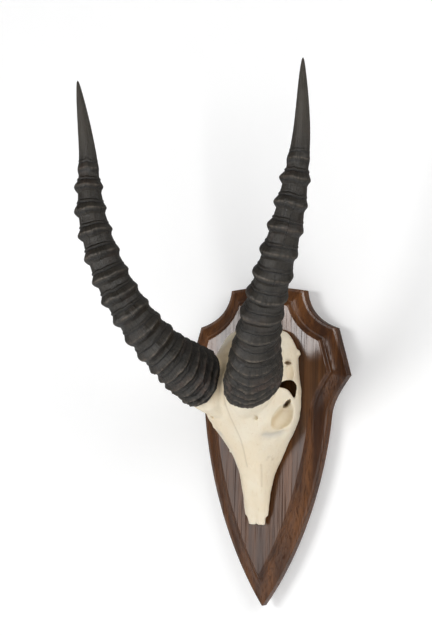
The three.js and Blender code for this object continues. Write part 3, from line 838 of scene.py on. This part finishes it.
def horn_tree():
    """Ringed sheath along a spine: oval, tapered, with rings that stand out at the front."""
    tree = bpy.data.node_groups.new("ringed_horn", "GeometryNodeTree")
    wanted = [("Spine", "Geometry"), ("Rings", "Object"), ("Material", "Material")]
    wanted += [(name, "Int") for name in ("Rows", "Sides")]
    wanted += [(name, "Float") for name in (
        "Base Radius", "Oval", "Ring Height", "Back Step", "Crease Depth", "Wrinkle Depth", "Streak Depth",
        "Slant Front", "Slant Inner", "Slant Fade", "Seed")]
    for name, kind in wanted:
        tree.interface.new_socket(name, in_out="INPUT", socket_type="NodeSocket" + kind)
    tree.interface.new_socket("Horn", in_out="OUTPUT", socket_type="NodeSocketGeometry")
    g = Graph(tree)
    given = g.add("NodeGroupInput").outputs
    spine = g.add("GeometryNodeMeshToCurve", given["Spine"]).outputs[0]
    length = g.add("GeometryNodeCurveLength", spine).outputs[0]
    columns = g.plus(given["Sides"], 1.0)
    sheet = g.add("GeometryNodeMeshGrid", 1.0, 1.0, given["Rows"], columns).outputs["Mesh"]
    place = g.add("ShaderNodeSeparateXYZ", g.add("GeometryNodeInputPosition").outputs[0]).outputs
    row = g.plus(place["X"], 0.5)
    angle = g.times(g.plus(place["Y"], 0.5), math.tau)
    cos, sin = g.math("COSINE", angle), g.math("SINE", angle)

    # The first few rows close the base as a flat disc
    fill = g.math("MINIMUM", g.over(row, BASE_CAP_SHARE), 1.0)
    share = g.math("MAXIMUM", g.over(g.minus(row, BASE_CAP_SHARE), 1.0 - BASE_CAP_SHARE), 0.0)
    s = g.times(share, length)

    def carried(name):
        field = g.add("GeometryNodeInputNamedAttribute", name, data_type="FLOAT_VECTOR").outputs[0]
        node = g.add(
            "GeometryNodeSampleCurve", mode="FACTOR", data_type="FLOAT_VECTOR", use_all_curves=True,
            named={"Curves": spine, "Value": field, "Factor": share})
        return node, g.vector("NORMALIZE", node.outputs["Value"])

    sample, front = carried("front")
    _, inner = carried("inner")
    centre, axis = sample.outputs["Position"], sample.outputs["Tangent"]

    # Round-the-horn coordinates for noise, shifted by the seed
    shift = g.join(given["Seed"], given["Seed"], given["Seed"])

    def around(turns, pitch, detail=2.0, roughness=0.5):
        place = g.join(g.times(cos, turns), g.times(sin, turns), g.over(s, pitch * MM))
        return g.noise(g.vector("ADD", place, shift), 1.0, detail, roughness)

    foot = g.ease(s, 0.0, FOOT_LENGTH * MM, 1.0, 0.0)

    # Nearest ring and the signed distance from it
    ring_s = g.plus(s, g.times(g.minus(around(1.1, 45), 0.5), RING_WANDER * MM))
    rings = g.add("GeometryNodeObjectInfo", given["Rings"]).outputs["Geometry"]
    nearest = g.add("GeometryNodeSampleNearest", rings, g.join(ring_s, 0.0, 0.0), domain="POINT").outputs[0]

    def ring_value(name):
        field = g.add("GeometryNodeInputNamedAttribute", name, data_type="FLOAT").outputs[0]
        return g.add(
            "GeometryNodeSampleIndex", data_type="FLOAT", domain="POINT",
            named={"Geometry": rings, "Value": field, "Index": nearest}).outputs[0]

    off = g.minus(ring_s, ring_value("station"))
    half = ring_value("half")
    height = ring_value("height")
    is_above = g.math("GREATER_THAN", off, 0.0)
    is_below = g.minus(1.0, is_above)

    def fold_line(place, width):
        """A line round the horn, placed in half lengths above the ring."""
        return g.bell(off, g.times(half, place), width * MM)

    # A ring is rounded with a swell above it, and low down a sharp edge that drops steeply below
    edge = g.math("MINIMUM", g.over(g.math("ABSOLUTE", off), half), 1.0)
    bead = g.math("POWER", g.minus(1.0, g.times(edge, edge)), 1.15)
    swell = g.times(g.ease(off, SWELL_LENGTH[0] * MM, SWELL_LENGTH[1] * MM, 1.0, 0.0), is_above, 0.5)
    rounded = g.math("MAXIMUM", bead, swell)
    steep = g.over(off, g.times(half, g.minus(g.times(is_above, 1.35), 0.45)))
    sharp = g.math("POWER", g.math("MAXIMUM", g.minus(1.0, steep), 0.0), 1.25)
    sharp_share = g.ease(s, SHARP_RINGS[0] * MM, SHARP_RINGS[1] * MM, 1.0, 0.0)
    profile = g.plus(g.times(rounded, g.minus(1.0, sharp_share)), g.times(sharp, sharp_share))

    # On the back of the horn the rings are low steps
    upper = g.over(off, ring_value("above"))
    lower = g.plus(g.over(off, ring_value("below")), 1.0)
    gap_share = g.plus(g.times(upper, is_above), g.times(lower, is_below))
    saw = g.math("MAXIMUM", g.minus(1.0, gap_share), g.ease(gap_share, 0.82, 1.0))

    crease = g.plus(fold_line(1.05, FOLD_WIDTH), g.times(fold_line(1.6, FOLD_WIDTH), 0.55))
    lip = fold_line(1.32, LIP_WIDTH)
    # Thin line on the crest of each ring, painted lighter as wear and highlight
    crest_highlight_line = fold_line(0.04, CREST_LINE_WIDTH)
    # Line just under each ring, used only to paint shade where the ring overhangs
    under_ring_shade = fold_line(-0.5, UNDER_RING_SHADE_WIDTH)
    front_share = g.plus(g.times(cos, 0.55), 0.75)
    back_share = g.minus(0.5, g.times(cos, 0.5))
    uneven = g.times(g.minus(around(1.7, 18), 0.5), g.plus(g.times(foot, 2.4), 0.6))
    full = g.times(height, g.plus(uneven, 1.0))
    rib = g.times(profile, front_share, given["Ring Height"])
    step = g.times(saw, back_share, given["Back Step"])
    fold = g.times(g.minus(g.times(lip, 0.55), crease), front_share, given["Crease Depth"])
    raised = g.times(g.plus(rib, step, fold), full)
    wave = g.minus(g.times(around(1.4, WRINKLE_PITCH, 3.0, 0.65), 2.0), 1.0)
    wrinkle = g.minus(0.5, g.times(g.math("ABSOLUTE", wave), 2.0))
    wrinkle = g.times(wrinkle, given["Wrinkle Depth"], g.plus(g.times(foot, 2.2), 0.15))
    streak = g.times(g.minus(around(9.0, 30, 3.0, 0.6), 0.5), given["Streak Depth"])
    extra = g.times(g.plus(raised, wrinkle, streak), g.ease(share, *TIP_FADE, 1.0, 0.0))

    taper = g.add("ShaderNodeFloatCurve", 1.0, share)
    curve = taper.mapping.curves[0]
    for k, (at, radius) in enumerate(HORN_RADII):
        spot = (at / HORN_LENGTH, radius / HORN_RADII[0][1])
        if k in (0, len(HORN_RADII) - 1):
            curve.points[0 if k == 0 else -1].location = spot
        else:
            curve.points.new(*spot)
    taper.mapping.update()
    blunt = g.math("SQRT", g.math("MINIMUM", g.over(g.minus(1.0, share), TIP_ROUND_SHARE), 1.0))
    radius = g.times(taper.outputs[0], given["Base Radius"], blunt)
    wide = g.plus(g.times(radius, g.plus(1.0, given["Oval"])), extra)
    narrow = g.plus(g.times(radius, g.minus(1.0, given["Oval"])), extra)
    fade = g.ease(g.over(s, given["Slant Fade"]), 0.0, 1.0, 1.0, 0.0)
    slant = g.plus(g.times(given["Slant Front"], cos), g.times(given["Slant Inner"], sin))
    ragged = g.times(g.minus(around(3.0, 20), 0.5), g.times(foot, RAGGED_EDGE * MM))
    along = g.times(g.plus(g.times(slant, fade), ragged), fill)
    spot = g.vector("ADD", centre, g.scaled(front, g.times(wide, cos, fill)))
    spot = g.vector("ADD", spot, g.scaled(inner, g.times(narrow, sin, fill)))
    spot = g.vector("ADD", spot, g.scaled(axis, along))

    def stored(geometry, name, value, kind="FLOAT"):
        node = g.add("GeometryNodeStoreNamedAttribute", data_type=kind, domain="POINT")
        g.feed(node.inputs["Geometry"], geometry)
        g.feed(node.inputs["Name"], name)
        g.feed(node.inputs["Value"], value)
        return node.outputs[0]

    sheet = stored(sheet, "grain", g.join(cos, sin, s), "FLOAT_VECTOR")
    # Mask of the crest line, painted as wear and highlight
    sheet = stored(sheet, "crest_wear_and_highlight", g.times(crest_highlight_line, front_share))
    # Mask of painted shade in the creases and under each ring
    sheet = stored(sheet, "crease_shade", g.times(g.plus(crease, under_ring_shade), front_share))
    sheet = stored(sheet, "foot", foot)
    # Shape is set last, because the fields above read the flat sheet
    sheet = g.add("GeometryNodeSetPosition", named={"Geometry": sheet, "Position": spot}).outputs[0]
    sheet = g.add("GeometryNodeMergeByDistance", named={"Geometry": sheet, "Distance": 0.00001}).outputs[0]
    sheet = g.add("GeometryNodeRealizeInstances", sheet).outputs[0]
    named = {"Geometry": sheet, "Material": given["Material"]}
    g.add("NodeGroupOutput", g.add("GeometryNodeSetMaterial", named=named).outputs[0])
    return tree


def set_inputs(modifier, values):
    for item in modifier.node_group.interface.items_tree:
        if item.item_type == "SOCKET" and item.in_out == "INPUT" and item.name in values:
            modifier[item.identifier] = values[item.name]


def make_horns(settings):
    sizes = settings.sizes
    material = dark_horn(settings.finishes)
    rings = ring_object()
    tree = horn_tree()
    for side, node in ((-1, "left_horn"), (1, "right_horn")):
        horn = spine_object(side)
        modifier = horn.modifiers.new("rings", "NODES")
        modifier.node_group = tree
        set_inputs(modifier, {
            "Rings": rings, "Rows": HORN_ROWS, "Sides": HORN_SIDES, "Base Radius": HORN_RADII[0][1] * MM,
            "Oval": HORN_OVAL, "Ring Height": sizes.ring_height, "Back Step": sizes.saw_height,
            "Crease Depth": sizes.crease_depth, "Wrinkle Depth": sizes.wrinkle_depth,
            "Streak Depth": sizes.streak_depth, "Slant Front": BASE_SLANT_FRONT * MM,
            "Slant Inner": BASE_SLANT_INNER * MM, "Slant Fade": SLANT_FADE * MM,
            "Seed": HORN_SEEDS[side], "Material": material,
        })
        settle(horn)
        face_out(horn.data)
        shade(horn, material)
        hand_over(horn, "horn", node)
    bpy.data.objects.remove(rings)


# Skull

def horn_base_ring(side, distance, scale, count=64):
    """Oval of a horn's base, slid along the horn's axis."""
    centres, axes, fronts, inners = (rows[0] for rows in horn_spine(side))
    radius = HORN_RADII[0][1] * scale
    ring = []
    for angle in np.linspace(0, math.tau, count, endpoint=False):
        c, s = math.cos(angle), math.sin(angle)
        along = distance + BASE_SLANT_FRONT * c + BASE_SLANT_INNER * s
        ring.append(
            centres + fronts * radius * (1 + HORN_OVAL) * c
            + inners * radius * (1 - HORN_OVAL) * s + axes * along)
    return ring


def skull_section(z, ridge, shoulder_x, shoulder_out, wide_x, wide_out):
    half = smooth_line([
        point(0, ridge, z),
        point(shoulder_x, shoulder_out, z),
        point(wide_x * 0.9, wide_out + (shoulder_out - wide_out) * 0.38, z),
        point(wide_x, wide_out, z),
        point(max(wide_x - SKULL_UNDERCUT, wide_x * 0.6), CUT_FACE_OUT, z),
    ], SKULL_SIDE_STEPS)
    return np.vstack([half[:0:-1] * (-1, 1, 1), half])


def skull_body():
    low, high = SKULL_SECTIONS[0][0], SKULL_SECTIONS[-1][0]
    heights = np.linspace(low, high, int((high - low) / SKULL_ROW_STEP))
    table = steady_table(SKULL_SECTIONS, heights)
    return loft("skull_bone", [skull_section(z, *row) for z, row in zip(heights, table)])


def fossa_cutter(side):
    outline = smooth_line([*FOSSA_OUTLINE, FOSSA_OUTLINE[0]], 48)[:-1]
    rings = []
    for out in (SHIELD_THICK - 5, FOSSA_OUTLINE_OUT * 2):
        drift = (out - FOSSA_OUTLINE_OUT) * FOSSA_DRIFT
        rings.append([point(side * (x + drift), out, z) for x, z in outline])
    return loft("fossa", rings)


def make_skull(settings):
    skull = skull_body()
    stumps = [loft("pedicle", [horn_base_ring(side, *ring) for ring in PEDICLE_RINGS]) for side in (-1, 1)]
    stumps += [spike("spine", *NUCHAL_SPINE, side) for side in (-1, 1)]
    stumps.append(spike("spur", *JAW_SPUR))
    cut(skull, stumps, "UNION")
    cutters = []
    for side in (-1, 1):
        cutters.append(loft("seat", [horn_base_ring(side, d, 1.25) for d in (-SEAT_GAP, PEDICLE_DEPTH)]))
        forms = (ORBIT, FORAMEN, BROW_SLIT, TEMPLE_HOLLOW, TEMPLE_HOLE)
        cutters += [ball("hollow", *form, side=side) for form in forms]
        cutters.append(fossa_cutter(side))
    nose = SKULL_SECTIONS[0][0]
    corners = ((-NOTCH_HALF, nose - 1), (NOTCH_HALF, nose - 1), (0, nose + NOTCH_DEPTH))
    depths = (SHIELD_THICK - 1, SHIELD_THICK * 2)
    cutters.append(loft("notch", [[point(x, out, z) for x, z in corners] for out in depths]))
    shank = SKULL_SCREW_SHANK + CLEARANCE
    cutters += [turned("screw_way", 0, z, [(shank, 0), (shank, SKULL_SCREW_DEPTH)], 24) for z in SKULL_SCREW_Z]
    cut(skull, cutters)
    voxels = skull.modifiers.new("even", "REMESH")
    voxels.mode = "VOXEL"
    voxels.voxel_size = settings.sizes.bone_voxel
    soften = skull.modifiers.new("soften", "SMOOTH")
    soften.factor = SOFTEN_FACTOR
    soften.iterations = BONE_SOFTEN_ROUNDS
    settle(skull)
    soften_rims(skull)
    age_bone(skull.data)
    shade(skull, old_bone(settings.finishes))
    hand_over(skull, "bone", "skull")


def mesh_places(mesh):
    places = np.empty(len(mesh.vertices) * 3, np.float32)
    mesh.vertices.foreach_get("co", places)
    return places.reshape(-1, 3).astype(float) / MM


def soften_rims(skull):
    """Rounds the lower and outer rims of the eye sockets."""
    places = mesh_places(skull.data)
    inside = both_sides(places, near_spot, SOCKET, 2 * SOCKET_RADIUS)
    weights = both_sides(places, near_edge, SOCKET_RIM, SOCKET_RIM_WIDTH) * smooth_step(inside, 0.1, 0.4)
    group = skull.vertex_groups.new(name="rims")
    for k in np.flatnonzero(weights > 0.05):
        group.add([int(k)], float(weights[k]), "REPLACE")
    soften = skull.modifiers.new("soften_rims", "SMOOTH")
    soften.factor = SOFTEN_FACTOR
    soften.iterations = RIM_SOFTEN_ROUNDS
    soften.vertex_group = group.name
    settle(skull)
    skull.vertex_groups.clear()


def near_line(places, line, width, weigh=(1, 1, 1)):
    """Bell-shaped nearness of places to a line of points, with a weight for each axis."""
    samples = smooth_line([point(*p) for p in line], 160)
    nearest = np.full(len(places), np.inf)
    for spot in samples:
        nearest = np.minimum(nearest, (((places - spot) * weigh) ** 2).sum(axis=1))
    return np.exp(-nearest / width**2)


def near_seam(places, line, width):
    """Nearness to a line as seen from the front."""
    return near_line(places, line, width, (1, 0, 1))


def near_edge(places, line, width):
    """Nearness to a line drawn as (across, up) and seen from the right of the face."""
    turn = math.radians(SIDE_VIEW)
    across = places[:, 0] * math.cos(turn) + places[:, 1] * math.sin(turn)
    seen = np.stack([across, places[:, 2]], axis=1)
    nearest = np.full(len(places), np.inf)
    for spot in smooth_line(line, 80):
        nearest = np.minimum(nearest, ((seen - spot) ** 2).sum(axis=1))
    return np.exp(-nearest / width**2)


def near_spot(places, spot, radius):
    return np.exp(-((places - point(*spot)) ** 2).sum(axis=1) / radius**2)


def both_sides(places, form, line_or_spot, width):
    """The same nearness on the right and the left of the skull."""
    mirrored = places * (-1, 1, 1)
    return np.maximum(form(places, line_or_spot, width), form(mirrored, line_or_spot, width))


def age_bone(mesh):
    """Seams, pits and hollows in the bone, and masks for its stains and its painted shade."""
    places = mesh_places(mesh)
    normals = np.empty(places.size, np.float32)
    mesh.vertices.foreach_get("normal", normals)
    normals = normals.reshape(-1, 3).astype(float)
    nasal = both_sides(places, near_seam, NASAL_SEAM, NASAL_SEAM_WIDTH)
    seam = np.maximum(near_seam(places, SUTURE, SUTURE_WIDTH), nasal * 0.6)
    pits = sum(both_sides(places, near_spot, pit, PIT_RADIUS) for pit in PITS)
    hollow = both_sides(places, near_line, TEAR_HOLLOW, TEAR_WIDTH)
    rim = both_sides(places, near_line, LOWER_RIM, LOWER_RIM_WIDTH)
    # Painted shade inside the fossa, the brow slit and the temple hole
    hole_shade = both_sides(places, near_line, FOSSA_AXIS, FOSSA_WIDTH) * 0.1
    for line, width in ((SLIT_AXIS, SLIT_WIDTH), (TEMPLE_HOLE_AXIS, TEMPLE_HOLE_WIDTH)):
        hole_shade = np.maximum(hole_shade, both_sides(places, near_line, line, width))
    knob = both_sides(places, near_spot, BROW_KNOB, KNOB_RADIUS)
    uneven = np.zeros(len(places))
    for size, depth in BONE_UNEVEN:
        uneven += depth * np.array([noise.noise(Vector(p / size)) for p in places])
    lift = RIM_LIFT * rim + KNOB_LIFT * knob + uneven
    lift -= SEAM_DEPTH * seam + PIT_DEPTH * pits + TEAR_DEPTH * hollow
    moved = places + normals * lift[:, None]
    mesh.vertices.foreach_set("co", (moved * MM).astype(np.float32).ravel())
    x, z = np.abs(places[:, 0]), places[:, 2]
    # Tan between the horns is partly a real stain and partly painted shade from the horns; the line under each
    # socket's brow edge is painted shadow
    between = smooth_step(z, 42, 84) * (1 - smooth_step(x, 14, 34))
    socket = both_sides(places, near_spot, SOCKET, SOCKET_RADIUS)
    shadow = both_sides(places, near_edge, SOCKET_EDGE, SOCKET_EDGE_WIDTH) * smooth_step(socket, 0.15, 0.5)
    point_attribute(mesh, "stain_and_painted_shade", np.clip(between * 0.7 + shadow * 0.45, 0, 1))
    point_attribute(mesh, "amber", np.clip(socket * 0.3, 0, 1))
    # The seam mask carries the real seams, the darkened pits and the painted shade in the holes
    point_attribute(mesh, "seam", np.clip(seam * 0.3 + pits * 0.4 + hole_shade * 0.95, 0, 1))
    # The hollow in front of each eye gets grey painted shade
    point_attribute(mesh, "hollow_shade", np.clip(hollow * 0.75, 0, 1))


# Fittings

def make_fittings(settings):
    finishes = settings.finishes
    steel = worn_metal("plated_steel", finishes.steel, 0.24, 0.42)
    brass = worn_metal("old_brass", finishes.brass, 0.26, 0.46)
    metals = {
        "hanger_plate": steel, "hanger_screw_left": steel, "hanger_screw_right": steel,
        "skull_screw_upper": brass, "skull_screw_lower": brass,
    }
    for name, material in metals.items():
        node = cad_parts[name]
        node.data.materials.clear()
        node.data.materials.append(material)


# Stage

def plain_wall(finishes, glow):
    """Matt paint that is seen only from the front."""
    material, graph, surface = new_material("matt_wall")
    weave = grained(graph, (9, 9, 9), 2.0)
    paler = (*(min(1.0, 1.02 * c) for c in finishes.wall[:3]), 1.0)
    colour = graph.blend(weave, finishes.wall, paler)
    dress(graph, surface, Base_Color=colour, Roughness=0.9, Specular_IOR_Level=0.1)
    dress(graph, surface, Emission_Color=(1, 1, 1, 1), Emission_Strength=glow)
    output = next(n for n in graph.tree.nodes if n.type == "OUTPUT_MATERIAL")
    behind = graph.add("ShaderNodeNewGeometry").outputs["Backfacing"]
    clear = graph.add("ShaderNodeBsdfTransparent").outputs[0]
    seen = graph.add("ShaderNodeMixShader", behind, surface.outputs[0], clear).outputs[0]
    graph.tree.links.new(seen, output.inputs["Surface"])
    return material


def stage_plane(name, corners, material):
    mesh = bpy.data.meshes.new(name)
    mesh.from_pydata(corners, [], [(0, 1, 2, 3)])
    mesh.materials.append(material)
    plane = link(name, mesh)
    return plane


def soft_light(name, power, size, spot):
    light = bpy.data.lights.new(name, "AREA")
    light.shape = "RECTANGLE"
    light.size, light.size_y = size
    light.energy = power
    lamp = bpy.data.objects.new(name, light)
    bpy.context.scene.collection.objects.link(lamp)
    lamp.location = spot
    lamp.rotation_euler = (Vector(LIGHT_TARGET) - Vector(spot)).to_track_quat("-Z", "Y").to_euler()


def make_camera(stage):
    a, e, r = stage.azimuth, stage.elevation, stage.roll
    back = Vector((math.sin(a) * math.cos(e), -math.cos(a) * math.cos(e), math.sin(e)))
    level = Vector((math.cos(a), math.sin(a), 0))
    upright = back.cross(level)
    right = level * math.cos(r) + upright * math.sin(r)
    up = upright * math.cos(r) - level * math.sin(r)
    target = Vector(CAMERA_TARGET) + level * CAMERA_SLIDE[0] + upright * CAMERA_SLIDE[1]
    data = bpy.data.cameras.new("photo_view")
    data.sensor_fit = "VERTICAL"
    data.angle_y = stage.view_angle
    data.clip_start = CAMERA_CLIP
    camera = bpy.data.objects.new("photo_view", data)
    bpy.context.scene.collection.objects.link(camera)
    turn = Matrix((right, up, back)).transposed().to_4x4()
    camera.matrix_world = Matrix.Translation(target + back * stage.distance) @ turn
    bpy.context.scene.camera = camera


def make_stage(settings):
    stage = settings.stage
    make_camera(stage)
    paint = plain_wall(settings.finishes, stage.glow)
    wide = STAGE_HALF_WIDTH
    upright = ((-wide, FLOOR_Z), (wide, FLOOR_Z), (wide, wide), (-wide, wide))
    wall = stage_plane("wall", [(x, WALL_GAP, z) for x, z in upright], paint)
    wall.visible_shadow = False
    wall.visible_glossy = False
    level = ((-wide, -wide), (wide, -wide), (wide, wide), (-wide, wide))
    stage_plane("floor", [(x, y, FLOOR_Z) for x, y in level], paint)
    soft_light("key_softbox", stage.key_power, *KEY_BOX)
    soft_light("low_panel", stage.low_power, *LOW_PANEL)
    soft_light("side_fill", stage.fill_power, *SIDE_FILL)
    world = bpy.data.worlds.new("room")
    world.use_nodes = True
    world.node_tree.nodes["Background"].inputs["Color"].default_value = (1, 1, 1, 1)
    world.node_tree.nodes["Background"].inputs["Strength"].default_value = stage.sky
    bpy.context.scene.world = world
    bpy.context.scene.view_settings.view_transform = "Standard"


# Operators and panel

class MOUNT_OT_stage(bpy.types.Operator):
    """Set up the wall, the light and the camera"""

    bl_idname = "mount.make_stage"
    bl_label = "Stage"

    def execute(self, context):
        make_stage(context.scene.shield_mount)
        return {"FINISHED"}


class MOUNT_OT_shield(bpy.types.Operator):
    """Make the moulded wooden shield"""

    bl_idname = "mount.make_shield"
    bl_label = "Shield"

    def execute(self, context):
        make_shield(context.scene.shield_mount)
        return {"FINISHED"}


class MOUNT_OT_skull(bpy.types.Operator):
    """Make the cut skull"""

    bl_idname = "mount.make_skull"
    bl_label = "Skull"

    def execute(self, context):
        make_skull(context.scene.shield_mount)
        return {"FINISHED"}


class MOUNT_OT_horns(bpy.types.Operator):
    """Make the two ringed horns"""

    bl_idname = "mount.make_horns"
    bl_label = "Horns"

    def execute(self, context):
        make_horns(context.scene.shield_mount)
        return {"FINISHED"}


class MOUNT_OT_fittings(bpy.types.Operator):
    """Finish the hanger and the screws on the back"""

    bl_idname = "mount.make_fittings"
    bl_label = "Fittings"

    def execute(self, context):
        make_fittings(context.scene.shield_mount)
        return {"FINISHED"}


class VIEW3D_PT_shield_mount(bpy.types.Panel):
    """Sizes, colours and pieces of the shield mount"""

    bl_idname = "VIEW3D_PT_shield_mount"
    bl_label = "Shield Mount"
    bl_space_type = "VIEW_3D"
    bl_region_type = "UI"
    bl_category = "Shield Mount"

    def draw(self, context):
        settings = context.scene.shield_mount
        for operator in OPERATORS:
            self.layout.operator(operator.bl_idname)
        for group in (settings.sizes, settings.finishes, settings.stage):
            column = self.layout.column()
            for name in group.__annotations__:
                column.prop(group, name)


OPERATORS = (MOUNT_OT_stage, MOUNT_OT_shield, MOUNT_OT_skull, MOUNT_OT_horns, MOUNT_OT_fittings)
CLASSES = (MountSizes, MountFinishes, MountStage, MountSettings, *OPERATORS, VIEW3D_PT_shield_mount)


def register():
    for cls in CLASSES:
        bpy.utils.register_class(cls)
    bpy.types.Scene.shield_mount = bpy.props.PointerProperty(type=MountSettings)


def unregister():
    del bpy.types.Scene.shield_mount
    for cls in reversed(CLASSES):
        bpy.utils.unregister_class(cls)


def main():
    register()
    bpy.ops.mount.make_stage()
    bpy.ops.mount.make_shield()
    bpy.ops.mount.make_skull()
    bpy.ops.mount.make_horns()
    bpy.ops.mount.make_fittings()


if __name__ == "__main__":
    main()
